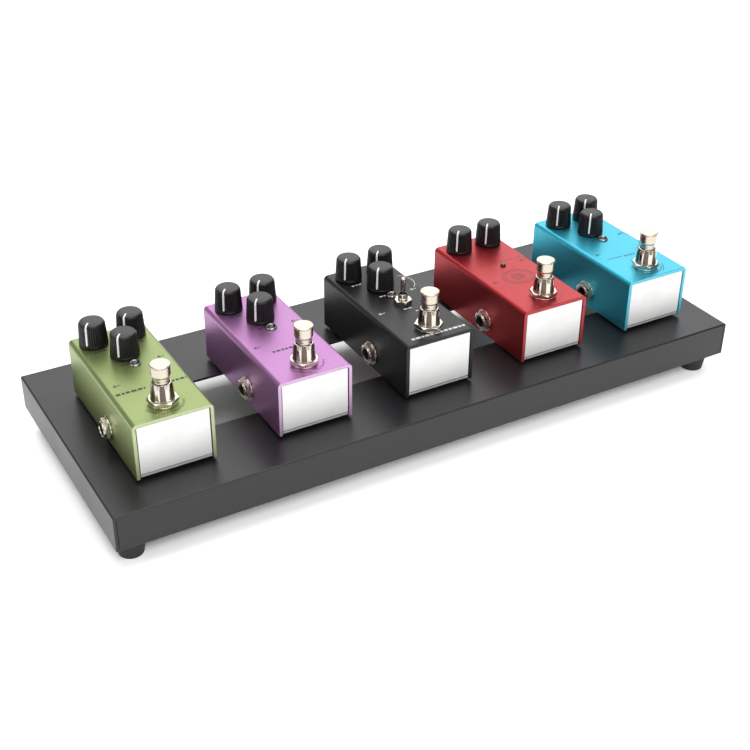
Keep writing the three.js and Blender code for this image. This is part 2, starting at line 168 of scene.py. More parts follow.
def modified(mesh, *settings):
    """The mesh after modifiers, each given as (type, its values)."""
    holder = bpy.data.objects.new("holder", mesh)
    SCENE.collection.objects.link(holder)
    for kind, values in settings:
        modifier = holder.modifiers.new(kind, kind)
        for key, value in values.items():
            setattr(modifier, key, value)
    graph = bpy.context.evaluated_depsgraph_get()
    result = bpy.data.meshes.new_from_object(holder.evaluated_get(graph))
    bpy.data.objects.remove(holder)
    return result


def carried_mesh(mesh, matrix):
    mesh.transform(matrix)
    return mesh


def combined(base, tool, operation):
    other = bpy.data.objects.new("tool", tool)
    SCENE.collection.objects.link(other)
    result = modified(base, ("BOOLEAN", {"operation": operation, "solver": "EXACT", "object": other}))
    bpy.data.objects.remove(other)
    return result


def bevelled(mesh, width, steps=2, angle=40, material=-1):
    """Edges sharper than an angle rounded off, with a material of their own if one is given."""
    values = {
        "width": width * MM,
        "segments": steps,
        "limit_method": "ANGLE",
        "angle_limit": math.radians(angle),
        "material": material,
    }
    return modified(mesh, ("BEVEL", values))


def smoothed(mesh, angle=36):
    """Smooth shading that keeps sharp edges and flat faces."""
    mesh.shade_smooth()
    mesh.set_sharp_from_angle(angle=math.radians(angle))
    return modified(mesh, ("WEIGHTED_NORMAL", {"keep_sharp": True}))


# ---- materials ----


class Finish:
    """A Principled material being built, with noise in the piece's own space."""

    def __init__(self, name, **sockets):
        self.material = bpy.data.materials.new(name)
        self.material.use_nodes = True
        self.tree = self.material.node_tree
        self.shader = self.tree.nodes["Principled BSDF"]
        for key, value in sockets.items():
            self.shader.inputs[key.replace("_", " ")].default_value = value
        self.coords = self.tree.nodes.new("ShaderNodeTexCoord").outputs["Object"]

    def link(self, source, target):
        self.tree.links.new(source, target)

    def noise(self, scale, detail=2.0, stretch=(1, 1, 1), seed=(0, 0, 0)):
        """Noise with so many cells to the metre, along each axis times its stretch."""
        mapping = self.tree.nodes.new("ShaderNodeMapping")
        mapping.inputs["Scale"].default_value = stretch
        mapping.inputs["Location"].default_value = seed
        texture = self.tree.nodes.new("ShaderNodeTexNoise")
        texture.inputs["Scale"].default_value = scale
        texture.inputs["Detail"].default_value = detail
        self.link(self.coords, mapping.inputs["Vector"])
        self.link(mapping.outputs["Vector"], texture.inputs["Vector"])
        return texture.outputs["Fac"]

    def mixed(self, first, second, share):
        """A value that is part one noise and part another."""
        mix = self.tree.nodes.new("ShaderNodeMix")
        mix.inputs[0].default_value = share
        self.link(first, mix.inputs[2])
        self.link(second, mix.inputs[3])
        return mix.outputs[0]

    def colour(self, source, shades):
        """Colour from a noise value: shades are (position, colour) pairs."""
        ramp = self.tree.nodes.new("ShaderNodeValToRGB")
        stops = ramp.color_ramp.elements
        while len(stops) < len(shades):
            stops.new(0.5)
        for stop, (position, colour) in zip(stops, shades):
            stop.position = position
            stop.color = (*colour, 1)
        self.link(source, ramp.inputs["Fac"])
        self.link(ramp.outputs["Color"], self.shader.inputs["Base Color"])

    def roughness(self, source, low, high):
        """Roughness between two values, spread over the middle of a noise's range."""
        spread = self.tree.nodes.new("ShaderNodeMapRange")
        spread.inputs["From Min"].default_value = 0.3
        spread.inputs["From Max"].default_value = 0.7
        spread.inputs["To Min"].default_value = low
        spread.inputs["To Max"].default_value = high
        self.link(source, spread.inputs["Value"])
        self.link(spread.outputs["Result"], self.shader.inputs["Roughness"])

    def calculate(self, operation, *values):
        """A Math node on numbers and other nodes' outputs."""
        node = self.tree.nodes.new("ShaderNodeMath")
        node.operation = operation
        for socket, value in zip(node.inputs, values):
            if isinstance(value, float):
                socket.default_value = value
            else:
                self.link(value, socket)
        return node.outputs[0]

    def glow_outside(self, half_x, half_y, fade, strength):
        """Light from the surface that starts at a rectangle round the origin and grows over a fade."""
        parts = self.tree.nodes.new("ShaderNodeSeparateXYZ")
        self.link(self.coords, parts.inputs[0])
        beyond = []
        for axis, half in (("X", half_x), ("Y", half_y)):
            size = self.calculate("ABSOLUTE", parts.outputs[axis])
            beyond.append(self.calculate("SUBTRACT", size, half))
        share = self.calculate("DIVIDE", self.calculate("MAXIMUM", *beyond), fade)
        share.node.use_clamp = True
        self.link(self.calculate("MULTIPLY", share, strength), self.shader.inputs["Emission Strength"])

    def bump(self, source, depth):
        """Relief of a depth in millimetres."""
        node = self.tree.nodes.new("ShaderNodeBump")
        node.inputs["Strength"].default_value = 1.0
        node.inputs["Distance"].default_value = depth * MM
        self.link(source, node.inputs["Height"])
        self.link(node.outputs["Normal"], self.shader.inputs["Normal"])


def scaled(colour, factor):
    return tuple(min(1.0, c * factor) for c in colour)


def plain_finish(name, colour, rough, cloud, grain, depth, vary, **sockets):
    """One colour with soft clouds in it, uneven gloss and a fine grain.

    Cloud and grain are noise cells to the metre, depth is the grain's relief in millimetres,
    and vary is how much darker and lighter the colour gets.
    """
    made = Finish(name, **sockets)
    clouds = made.noise(cloud, 3.0)
    grains = made.noise(grain, 2.0)
    both = made.mixed(clouds, grains, 0.4)
    made.colour(both, [(0.35, scaled(colour, 1 - vary)), (0.65, scaled(colour, 1 + vary))])
    made.roughness(made.mixed(grains, clouds, 0.5), *rough)
    made.bump(grains, depth)
    return made.material


def anodised_finish(name, colour, metal, coat, rough):
    """Satin anodised aluminium: a fine sparkle in the colour, faint handling marks in the gloss."""
    made = Finish(name, Metallic=metal, Coat_Weight=coat, Coat_Roughness=0.3, Specular_IOR_Level=0.38)
    sparkle = made.noise(4200, 1.0)
    marks = made.noise(55, 4.0, seed=(3, 1, 2))
    peel = made.noise(900, 2.0, seed=(5, 2, 1))
    made.colour(sparkle, [(0.32, scaled(colour, 0.84)), (0.5, colour), (0.7, scaled(colour, 1.18))])
    made.roughness(made.mixed(marks, peel, 0.4), *rough)
    made.bump(peel, 0.006)
    return made.material


def brushed_finish(name, colour, rough, stretch, scale, metal):
    """Bare metal with fine lines along one direction."""
    made = Finish(name, Metallic=metal)
    lines = made.noise(scale, 3.0, stretch)
    clouds = made.noise(70, 3.0)
    made.colour(clouds, [(0.3, scaled(colour, 0.93)), (0.7, colour)])
    made.roughness(lines, *rough)
    made.bump(lines, 0.006)
    return made.material


def polished_finish(name, colour, rough):
    """Polished plating with faint smudges."""
    made = Finish(name, Metallic=1.0)
    smudge = made.noise(240, 4.0)
    made.colour(smudge, [(0.25, scaled(colour, 0.9)), (0.6, colour)])
    made.roughness(smudge, *rough)
    made.bump(made.noise(900, 2.0), 0.002)
    return made.material


# Colour, metallic share, clear coat and the range of roughness.
ANODISED = {
    "green": ((0.265, 0.33, 0.125), 0.85, 0.2, (0.36, 0.44)),
    "purple": ((0.42, 0.19, 0.42), 0.85, 0.25, (0.36, 0.44)),
    "black": ((0.007, 0.007, 0.0075), 0.0, 0.0, (0.34, 0.42)),
    "red": ((0.40, 0.022, 0.028), 0.85, 0.25, (0.36, 0.44)),
    "cyan": ((0.045, 0.455, 0.61), 0.85, 0.2, (0.36, 0.44)),
}
# The covers' sawn ends, painted paler than their tops as a painted highlight.
END_HIGHLIGHT_COLOUR = {
    "green": (0.50, 0.55, 0.34),
    "purple": (0.64, 0.43, 0.64),
    "black": (0.012, 0.012, 0.0125),
    "red": (0.44, 0.06, 0.075),
    "cyan": (0.13, 0.56, 0.70),
}
PAINT = {c: anodised_finish(f"{c}_anodised", *ANODISED[c]) for c in COLOURS}
EDGE_METAL = {c: 0.0 if c == "black" else 0.7 for c in COLOURS}
# Paler copies of the cover paint for the end faces: painted highlight.
END_HIGHLIGHT_PAINT = {
    c: anodised_finish(f"{c}_anodised_painted_highlight_end", END_HIGHLIGHT_COLOUR[c], EDGE_METAL[c], 0.0, (0.42, 0.52)) for c in COLOURS
}
POWDER = plain_finish("black_powder_coat", (0.0078, 0.0075, 0.009), (0.3, 0.4), 25, 1300, 0.02, 0.2)
POWDER_EDGE = plain_finish("powder_coat_rubbed_edge", (0.03, 0.03, 0.031), (0.25, 0.45), 90, 1500, 0.02, 0.5)
RUBBER = plain_finish("black_rubber", (0.012, 0.012, 0.013), (0.6, 0.8), 90, 2500, 0.03, 0.25)
SIDEWAYS = {"stretch": (0.12, 1, 6), "scale": 2200, "metal": 0.5}
PLATE = brushed_finish("brushed_aluminium", (0.93, 0.93, 0.92), (0.46, 0.58), **SIDEWAYS)
# Darker aluminium for the faces in the front plate's crease: painted shade.
CREASE_SHADE = brushed_finish("aluminium_painted_crease_shade", (0.3, 0.3, 0.29), (0.4, 0.55), **SIDEWAYS)
NICKEL = polished_finish("bright_nickel", (0.66, 0.61, 0.53), (0.1, 0.2))
SATIN_NICKEL = polished_finish("satin_nickel", (0.62, 0.56, 0.47), (0.2, 0.3))
# Darker nickel for the bushing's grooves: painted shade between the ribs.
GROOVE_SHADE_NICKEL = polished_finish("nickel_painted_groove_shade", (0.13, 0.1, 0.085), (0.2, 0.32))
DARK_NICKEL = polished_finish("dark_nickel", (0.30, 0.29, 0.28), (0.12, 0.22))
STEEL = brushed_finish("zinc_steel", (0.6, 0.6, 0.62), (0.28, 0.4), (1, 1, 0.2), 1500, 1.0)
KNOB_SIDE = plain_finish(
    "knob_plastic_side", (0.006, 0.006, 0.007), (0.3, 0.44), 200, 3000, 0.01, 0.3, Specular_IOR_Level=0.33
)
# A lighter copy of the knob plastic for the top: painted sheen in its colour, real satin gloss in its roughness.
KNOB_TOP_SHEEN = plain_finish("knob_plastic_top_painted_sheen", (0.035, 0.035, 0.035), (0.42, 0.52), 200, 2600, 0.012, 0.15)
POINTER = plain_finish("pointer_white", (0.8, 0.8, 0.78), (0.35, 0.5), 300, 2500, 0.008, 0.05)
MOULDED = plain_finish("moulded_black", (0.012, 0.012, 0.012), (0.35, 0.5), 150, 2200, 0.015, 0.2)
LAMINATE = plain_finish("green_laminate", (0.01, 0.09, 0.04), (0.3, 0.5), 120, 1800, 0.01, 0.3)
HOOKS = plain_finish("hook_and_loop", (0.016, 0.016, 0.017), (0.85, 1.0), 400, 2600, 0.35, 0.4)
GLOSSY = {"rough": (0.05, 0.12), "cloud": 500, "grain": 900, "depth": 0.003, "vary": 0.3, "Coat_Weight": 0.6}
LENS = plain_finish("lamp_lens", (0.05, 0.05, 0.052), **GLOSSY)
DARK_LENS = plain_finish("lamp_lens_dark", (0.03, 0.01, 0.01), **GLOSSY)
DARK_INK = plain_finish("dark_ink", (0.02, 0.022, 0.022), (0.4, 0.6), 900, 3200, 0.004, 0.3)
PALE_INK = plain_finish("pale_ink", (0.62, 0.62, 0.6), (0.4, 0.6), 900, 3200, 0.004, 0.1)

# ---- pieces ----


def piece(name, mesh, materials, body, slot, at=(0, 0, 0), node=None):
    """A named object at a place in metres that rides on a body and may stand for a CAD node."""
    obj = bpy.data.objects.new(name, mesh)
    SCENE.collection.objects.link(obj)
    mesh.name = name
    for index, material in enumerate(materials if isinstance(materials, list) else [materials]):
        if index < len(mesh.materials):
            mesh.materials[index] = material
        else:
            mesh.materials.append(material)
    obj.location = at
    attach(obj, body)
    if node:
        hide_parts(node)
    return obj


def foot_of(node):
    """Middle of a node's box across, at its lowest height."""
    low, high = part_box(node)
    return Vector(((low.x + high.x) / 2, (low.y + high.y) / 2, low.z))


# ---- board ----

TRAY_LOW, TRAY_HIGH = (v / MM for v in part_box("board_tray"))
DECK_TOP = TRAY_HIGH.z
FLANGE_BOTTOM = TRAY_LOW.z
SHEET = 1.5
FOLD = 1.0
FOLD_STEPS = 8
CORNER = {"outside": 0.5, "inside": 0.8}
SLOT = {"x": 150, "front": -24, "back": 22, "corner": 5}
LIP = {"reach": 25, "gap": 0.4, "corner": 0.3}
SEAM = 0.3
FOOT_HEIGHT = FLANGE_BOTTOM
FOOT_SECTION = [
    (3.4, 4.2),
    (3.4, 0.6, 0.4),
    (4.4, 0, 0.4),
    (6.4, 0, 0.9),
    (8.2, FOOT_HEIGHT - 1.2, 0.6),
    (8.2, FOOT_HEIGHT, 0.2),
    (1.6, FOOT_HEIGHT),
    (1.6, 4.2),
]
SCREW = {"radius": 2.9, "height": 2.0, "recess": 0.8, "seat": 4.1}
SCREW_NUT = {"flats": 5.5, "height": 2.4, "bore": 1.5}


def tray_loop(inset, z):
    x, y = TRAY_HIGH.x - inset, TRAY_HIGH.y - inset
    r = CORNER["outside"]
    corners = [(-x, -y, r), (x, -y, r), (x, y, r), (-x, y, r)]
    return [(px, py, z) for px, py in rounded(corners, closed=True, steps=4)]


def tray_mesh():
    """The tray folded from sheet, with its slot, open corner seams and end lips."""
    loops = [tray_loop(0, FLANGE_BOTTOM)]
    for k in range(FOLD_STEPS + 1):
        angle = math.pi / 2 * k / FOLD_STEPS
        loops.append(tray_loop(FOLD * (1 - math.cos(angle)), DECK_TOP - FOLD * (1 - math.sin(angle))))
    x, y = TRAY_HIGH.x - SHEET, TRAY_HIGH.y - SHEET
    hollow = block(-x, x, -y, y, FLANGE_BOTTOM - 1, DECK_TOP - SHEET, CORNER["inside"])
    slot = block(-SLOT["x"], SLOT["x"], SLOT["front"], SLOT["back"], DECK_TOP - 5, DECK_TOP + 5, SLOT["corner"])
    shell = combined(mesh_of(loft(loops)), mesh_of(hollow), "DIFFERENCE")
    shell = combined(shell, mesh_of(slot), "DIFFERENCE")
    shell.materials.append(POWDER)
    shell.materials.append(POWDER_EDGE)
    shell = bevelled(shell, 0.3, material=1)
    seams = []
    for sx in (-1, 1):
        for sy in (-1, 1):
            xs = sorted((sx * x, sx * (x - SEAM)))
            ys = sorted((sy * (y - 2), sy * (y + SHEET + 1)))
            seams.append(block(*xs, *ys, FLANGE_BOTTOM - 1, DECK_TOP - SHEET - SEAM))
    shell = combined(shell, mesh_of(*seams), "DIFFERENCE")
    half = y - LIP["gap"]
    for side in (-1, 1):
        xs = sorted((side * (x + 0.5), side * (x - LIP["reach"])))
        lip = block(*xs, -half, half, FLANGE_BOTTOM, FLANGE_BOTTOM + SHEET, LIP["corner"])
        shell = combined(shell, bevelled(mesh_of(lip), 0.2), "UNION")
    return shell


def screw_head(radius, height, recess):
    """A round screw head with a cross recess, standing on z = 0."""
    rim, arm, reach = height * 0.45, recess / 2, recess * 1.9
    profile = [(0, 0), (radius, 0, 0.1), (radius, rim, 0.2), (radius * 0.55, height, 0.6), (0, height)]
    solid = mesh_of(lathe(rounded(profile), 40))
    for x, y in ((reach, arm), (arm, reach)):
        solid = combined(solid, mesh_of(block(-x, x, -y, y, rim, height + 1)), "DIFFERENCE")
    return solid


def nut_mesh(flats, low, high, bore, turn=0.0):
    """A hexagonal nut with its corners chamfered on both faces."""
    flat, reach = flats / 2, flats / math.sqrt(3)
    slope = (reach - flat) * 0.62
    chamfer = [(0, low), (flat, low), (reach, low + slope), (reach, high - slope), (flat, high), (0, high)]
    solid = combined(mesh_of(hexagon(flats, low - 1, high + 1, turn)), mesh_of(lathe(chamfer)), "INTERSECT")
    solid = combined(solid, mesh_of(rod(bore, low - 1, high + 1)), "DIFFERENCE")
    return bevelled(solid, 0.12)


def washer_shape(inner, outer, low, high):
    edge = min(0.2, (high - low) * 0.4)
    corners = [(inner, low, edge / 2), (outer, low, edge), (outer, high, edge), (inner, high, edge / 2)]
    return lathe(rounded(corners, closed=True, steps=3), closed=True)


def thread_profile(radius, low, high, pitch, depth):
    """Ridges of a thread seen from the side, lowest first."""
    path = []
    z = low
    while z + pitch <= high:
        path += [(radius - depth, z), (radius, z + pitch * 0.4), (radius, z + pitch * 0.55)]
        z += pitch
    return path + [(radius - depth, z)]


def add_foot(node):
    """A rubber foot with the screw in its hollow and the nut on the lip above it."""
    at = foot_of(node)
    foot = lathe(rounded(FOOT_SECTION, closed=True), closed=True)
    piece(f"{node}_rubber", smoothed(mesh_of(foot)), RUBBER, "board", "foot_rubber", at, node)
    head = screw_head(SCREW["radius"], SCREW["height"], SCREW["recess"])
    head = carried_mesh(head, Matrix.Rotation(math.pi, 4, "X"))
    seat = at + Vector((0, 0, SCREW["seat"] * MM))
    piece(f"{node}_screw", smoothed(head), STEEL, "board", "nickel_plate", seat)
    nut = nut_mesh(SCREW_NUT["flats"], 0, SCREW_NUT["height"], SCREW_NUT["bore"])
    lip_top = Vector((at.x, at.y, (FLANGE_BOTTOM + SHEET) * MM))
    piece(f"{node}_nut", smoothed(nut), STEEL, "board", "nickel_plate", lip_top)


def add_board():
    tray = smoothed(tray_mesh(), 38)
    piece("tray_folded_sheet", tray, [POWDER, POWDER_EDGE], "board", "tray_black", node="board_tray")
    for end in ("front", "back"):
        for side in ("left", "right"):
            add_foot(f"foot_{end}_{side}")


# ---- pedal case: x from its middle, y from its front, z from its bottom ----

CASE = {"width": 42.4, "depth": 93.0, "height": 31.7, "wall": 2.0, "edge": 2.6, "inner_edge": 0.9}
SIDE_X = CASE["width"] / 2
INSIDE_TOP = CASE["height"] - CASE["wall"] - 0.3
KNOBS = {"left": (-10.3, 83.0), "right": (10.3, 83.0), "front": (0.0, 64.4)}
SWITCH_Y = 12.5
LAMP = (1.0, 53.2)
TOGGLE = (2.0, 43.0)
JACK_Z = 9.4
JACKS = {"left": (-1, 37.0), "right": (1, 54.0)}
HOLE = {"knob": 3.5, "switch": 6.4, "lamp": 1.8, "bezel": 2.9, "toggle": 3.0, "jack": 5.0, "inlet": 5.6}
PLATES = {"front": 0.5, "back": CASE["depth"] - 0.5, "sheet": 1.5, "bend": 1.9, "side_gap": 0.45}
CREASE_DEPTH = 0.3
HOOK_PAD = (-15, 15, 12, 81, -1.45, 0.02, 3)
INLET = {"z": 15.8, "half": 4.7, "back": CASE["depth"] - 0.5, "rear": CASE["depth"] - 2.3}
PCB = {"half": 17.8, "front": 24.0, "back": 89.5, "low": 21.3, "high": 22.9}
BACKWARDS = Matrix.Translation((0, 0, INLET["z"])) @ Matrix.Rotation(-math.pi / 2, 4, "X")


def hole_shape(x, y, radius):
    top = CASE["height"]
    return shifted(rod(radius, top - 4, top + 2), x, y)


def cover_mesh(colour, knobs):
    """The case's inverted U with its holes."""
    x, top, edge, wall, inner = SIDE_X, CASE["height"], CASE["edge"], CASE["wall"], CASE["inner_edge"]
    outline = [
        (x, 0),
        (x, top, edge),
        (-x, top, edge),
        (-x, 0),
        (-x + wall, 0),
        (-x + wall, top - wall, inner),
        (x - wall, top - wall, inner),
        (x - wall, 0),
    ]
    outline = rounded(outline, closed=True, steps=10)
    upright = Matrix.Translation((0, CASE["depth"], 0)) @ Matrix.Rotation(math.pi / 2, 4, "X")
    shell = mesh_of(carried(prism(outline, 0, CASE["depth"]), upright))
    shell.materials.append(PAINT[colour])
    shell.materials.append(END_HIGHLIGHT_PAINT[colour])
    # End faces take the paler paint: a painted highlight on the covers' ends.
    for face in shell.polygons:
        face.material_index = int(abs(face.normal.y) > 0.9)
    shell = bevelled(shell, 0.3, 3, 60)
    holes = [hole_shape(*KNOBS[k], HOLE["knob"]) for k in knobs]
    holes.append(hole_shape(0, SWITCH_Y, HOLE["switch"]))
    holes.append(hole_shape(*LAMP, HOLE["lamp" if colour == "red" else "bezel"]))
    if colour == "black":
        holes.append(hole_shape(*TOGGLE, HOLE["toggle"]))
    for side, y in JACKS.values():
        turn = Matrix.Translation((0, y, JACK_Z)) @ Matrix.Rotation(side * math.pi / 2, 4, "Y")
        holes.append(carried(rod(HOLE["jack"], x - 4, x + 2), turn))
    return combined(shell, mesh_of(*holes), "DIFFERENCE")


def chassis_mesh():
    """Base and end plates bent from one sheet, with a fine crease where the front bend starts, painted darker as
    painted shade.
    """
    front, back, t, r = PLATES["front"], PLATES["back"], PLATES["sheet"], PLATES["bend"]
    top, depth = INSIDE_TOP, CREASE_DEPTH
    crease_top = r + 0.75
    outline = [
        (front, top, 0.15),
        (front, crease_top),
        (front + depth, r + 0.6),
        (front + depth, r + 0.2),
        (front, r),
        (front, 0, r - 0.1),
        (back, 0, r),
        (back, top, 0.15),
        (back - t, top, 0.15),
        (back - t, t, 0.4),
        (front + t, t, 0.4),
        (front + t, top, 0.15),
    ]
    half = SIDE_X - CASE["wall"] - PLATES["side_gap"]
    shape = prism(rounded(outline, closed=True, steps=8), -half, half)
    turn = Matrix(((0, 0, 1, 0), (1, 0, 0, 0), (0, 1, 0, 0), (0, 0, 0, 1)))
    sheet = mesh_of(carried(shape, turn))
    sheet.materials.append(PLATE)
    sheet.materials.append(CREASE_SHADE)
    # Faces in the crease take the darker aluminium: painted shade.
    for face in sheet.polygons:
        x, y, z = face.center / MM
        face.material_index = int(y < front + depth + 0.1 and r < z < crease_top)
    hole = rod(HOLE["inlet"], back - 4, back + 2)
    return combined(sheet, mesh_of(carried(hole, BACKWARDS)), "DIFFERENCE")


# ---- knobs: z = 0 on the case top ----

FLUTES = 36
FLUTE_DEPTH = 0.3
FLUTE_LOW, FLUTE_HIGH = 1.9, 13.0
KNOB_RIM = 13.35
POINTER_ANGLE = math.radians(-135)
POINTER_FOOT, POINTER_INNER_END = 2.3, 3.4
KNOB_PATH = rounded(
    [
        (0, 0.5),
        (7.7, 0.5, 0.3),
        (7.7, 1.6, 0.15),
        (7.45, 1.9, 0.1),
        (7.62, 2.2, 0.1),
        (6.95, 12.6, 1.2),
        (6.1, 13.9, 1.2),
        (4.0, 14.4, 3.0),
        (0, 14.55),
    ],
    steps=5,
)
SHAFT_PATH = rounded([(0, -6), (3, -6, 0.3), (3, 0.9), (0, 0.9)])


def flute(angle, radius, height):
    """Narrow grooves between rounded ridges, running out at both ends."""
    ends = max(0.0, min(1.0, (height - FLUTE_LOW) / 0.5, (FLUTE_HIGH - height) / 0.7))
    valley = (0.5 - 0.5 * math.cos(FLUTES * (angle - POINTER_ANGLE))) ** 2
    return radius - FLUTE_DEPTH * ends * valley


def dense(path, step):
    """The path with points added so that no gap is longer than step."""
    out = [path[0]]
    for a, b in zip(path, path[1:]):
        count = max(1, math.ceil(math.dist(a, b) / step))
        out += [(a[0] + (b[0] - a[0]) * k / count, a[1] + (b[1] - a[1]) * k / count) for k in range(1, count + 1)]
    return out


def strip(path, half, lift, sink):
    """A raised line that follows a (radius, height) path, half its width to each side."""
    points, faces = [], []
    last = len(path) - 1
    for i, (r, z) in enumerate(path):
        a, b = path[max(0, i - 1)], path[min(last, i + 1)]
        along = Vector((b[0] - a[0], b[1] - a[1])).normalized()
        out = Vector((along.y, -along.x))
        wide = half * (0.55 if i in (0, last) else 1)
        for side, push in ((-wide, -sink), (wide, -sink), (wide * 0.8, lift), (-wide * 0.8, lift)):
            points.append((r + out.x * push, side, z + out.y * push))
    for i in range(last):
        for k in range(4):
            a, b = 4 * i + k, 4 * i + (k + 1) % 4
            faces.append((a, b, b + 4, a + 4))
    faces += [(3, 2, 1, 0), tuple(4 * last + k for k in range(4))]
    return points, faces


def add_knob(colour, at, name):
    """Body, pointer line and shaft of a knob."""
    node = f"{colour}_knob_{name}"
    place = at + Vector((*KNOBS[name], CASE["height"])) * MM
    body = mesh_of(lathe(dense(KNOB_PATH, 0.8), FLUTES * 6, ripple=flute))
    # Faces above the rim take the lighter top colour: painted sheen.
    for face in body.polygons:
        if face.center.z > KNOB_RIM * MM:
            face.material_index = 1
    line_path = [p for p in dense(KNOB_PATH, 0.5) if p[1] > POINTER_FOOT and p[0] > POINTER_INNER_END]
    line = mesh_of(carried(strip(line_path, 0.55, 0.1, 0.35), Matrix.Rotation(POINTER_ANGLE, 4, "Z")))
    shaft = smoothed(mesh_of(lathe(SHAFT_PATH, 32)))
    piece(f"{node}_body", smoothed(body, 50), [KNOB_SIDE, KNOB_TOP_SHEEN], node, "knob_plastic", place, node)
    piece(f"{node}_pointer", smoothed(line, 60), POINTER, node, "knob_plastic", place)
    piece(f"{node}_shaft", shaft, STEEL, node, "knob_plastic", place)


# ---- circuit board and what is soldered to it ----

CAN = {"half": 4.8, "corner": 0.8, "below_top": 0.8, "collar": 3.9, "bore": 3.3, "bore_depth": 5}
INLET_BODY = {"depth": 13, "height": 11, "nose": 5.2, "nose_bore": 3.0, "bore_depth": 9, "pin": 1.05}
LAMP_RADIUS, LAMP_RISE = 1.5, 1.6


def potentiometer_mesh(x, y):
    """A potentiometer's can with the collar that holds the knob's shaft."""
    half, bore, collar, top = CAN["half"], CAN["bore"], CAN["collar"], INSIDE_TOP
    low = top - CAN["bore_depth"]
    can = block(x - half, x + half, y - half, y + half, PCB["high"], top - CAN["below_top"], CAN["corner"])
    can = combined(mesh_of(can), mesh_of(shifted(rod(bore, low, top + 1), x, y)), "DIFFERENCE")
    section = rounded([(bore, low), (collar, low), (collar, top, 0.2), (bore, top, 0.1)], True)
    return combined(can, mesh_of(shifted(lathe(section, closed=True), x, y)), "UNION")


def inlet_meshes():
    """The power inlet's body and the pin in it."""
    half, back, rear = INLET["half"], INLET["back"], INLET["rear"]
    shape, bore = INLET_BODY, INLET_BODY["nose_bore"]
    floor = back - shape["bore_depth"]
    body = block(-half, half, rear - shape["depth"], rear, PCB["low"] - shape["height"], PCB["low"], 0.4)
    nose = lathe(rounded([(0, rear - 1), (shape["nose"], rear - 1), (shape["nose"], back, 0.35), (0, back)]))
    mouth = bore + 0.3
    hole = [(0, floor), (bore, floor), (bore, back - 0.3), (mouth, back + 0.1), (mouth, back + 1), (0, back + 1)]
    pin = rounded([(0, floor - 0.5), (shape["pin"], floor - 0.5), (shape["pin"], back - 1, 0.5), (0, back - 1)])
    solid = combined(mesh_of(body), mesh_of(carried(nose, BACKWARDS)), "UNION")
    solid = combined(solid, mesh_of(carried(lathe(hole), BACKWARDS)), "DIFFERENCE")
    return bevelled(solid, 0.12), mesh_of(carried(lathe(pin, 24), BACKWARDS))


def add_circuit(colour, at, knobs):
    """Circuit board with potentiometers, power inlet and lamp, all soldered to it."""
    ride = ("board", "circuit_laminate", at)
    board = block(-PCB["half"], PCB["half"], PCB["front"], PCB["back"], PCB["low"], PCB["high"], 1.0)
    board = smoothed(bevelled(mesh_of(board), 0.1))
    piece(f"{colour}_laminate", board, LAMINATE, *ride, f"{colour}_circuit_board")
    for k in knobs:
        piece(f"{colour}_potentiometer_{k}", smoothed(potentiometer_mesh(*KNOBS[k])), STEEL, *ride)
    body, pin = inlet_meshes()
    piece(f"{colour}_power_inlet", smoothed(body), MOULDED, *ride)
    piece(f"{colour}_power_inlet_pin", smoothed(pin), NICKEL, *ride)
    low, high, r = PCB["high"], CASE["height"] + LAMP_RISE, LAMP_RADIUS
    lamp = lathe(rounded([(0, low), (r, low), (r, high, 1.2), (0, high)], steps=8), 32)
    lens = DARK_LENS if colour in ("black", "red") else LENS
    piece(f"{colour}_lamp", smoothed(mesh_of(shifted(lamp, *LAMP))), lens, *ride)


# ---- footswitch: z = 0 on the case top ----

BUSHING_RIBS = 6
RIB_DEPTH = 0.4
RIB_LOW, RIB_HIGH = 3.5, 12.0
RIB_SHARPNESS = 1.6
SHOULDER = 9.3
GROOVE_RADIUS = 5.98
GROOVE_TAPER = 0.07
GROOVE_SHARE = 0.6
BORE = 4.4
INSIDE_BUSHING = 4.7
# How each pedal's footswitch bushing and its nut are turned, in degrees.
SWITCH_TURN = {"green": 11, "purple": 4, "black": -3, "red": -8, "cyan": -13}
NUT_TURN = {"green": -22, "purple": -2, "black": 38, "red": 12, "cyan": 11}
BUSHING_PATH = rounded(
    [
        (BORE, -8.0),
        (5.9, -2.7),
        (5.9, 1.0),
        (6.0, 3.3),
        (6.15, 3.4, 0.05),
        (5.6, SHOULDER, 0.8),
        (4.85, 12.05, 0.2),
        (BORE, 12.2),
    ]
)
SWITCH_BOX = (-8.2, 8.2, -8.5, 8.5, -16.3, -2.3, 0.8)
PLUNGER_PATH = rounded(
    [
        (0, -3.5),
        (4.0, -3.5, 0.3),
        (4.0, 13.0, 0.5),
        (4.28, 14.6, 0.5),
        (4.34, 15.2, 0.3),
        (4.85, 16.3, 0.8),
        (4.9, 21.05, 0.1),
        (4.6, 21.3, 0.08),
        (5.15, 21.55, 0.08),
        (5.2, 21.95, 0.15),
        (4.7, 22.25, 0.5),
        (0, 22.4),
    ]
)


def rib_valley(angle):
    """0 on a rib of the bushing and 1 in the groove between two ribs."""
    wave = 0.5 + 0.5 * math.cos(BUSHING_RIBS * angle)
    return min(1.0, RIB_SHARPNESS * wave) ** 2


def ribbed(angle, radius, height):
    """The bushing's surface: straight grooves that run out in its conical shoulder."""
    if not RIB_LOW < height < RIB_HIGH or radius < 4.8:
        return radius
    groove = GROOVE_RADIUS - GROOVE_TAPER * (height - RIB_LOW) - RIB_DEPTH * rib_valley(angle)
    return min(radius, groove)


def in_groove(angle, height):
    """Whether a point is in a groove, which narrows to a point up the shoulder; these points take the painted
    groove shade.
    """
    narrowing = max(0.0, (height - SHOULDER) / (RIB_HIGH - SHOULDER))
    return RIB_LOW < height < RIB_HIGH and rib_valley(angle) > GROOVE_SHARE + (1 - GROOVE_SHARE) * narrowing


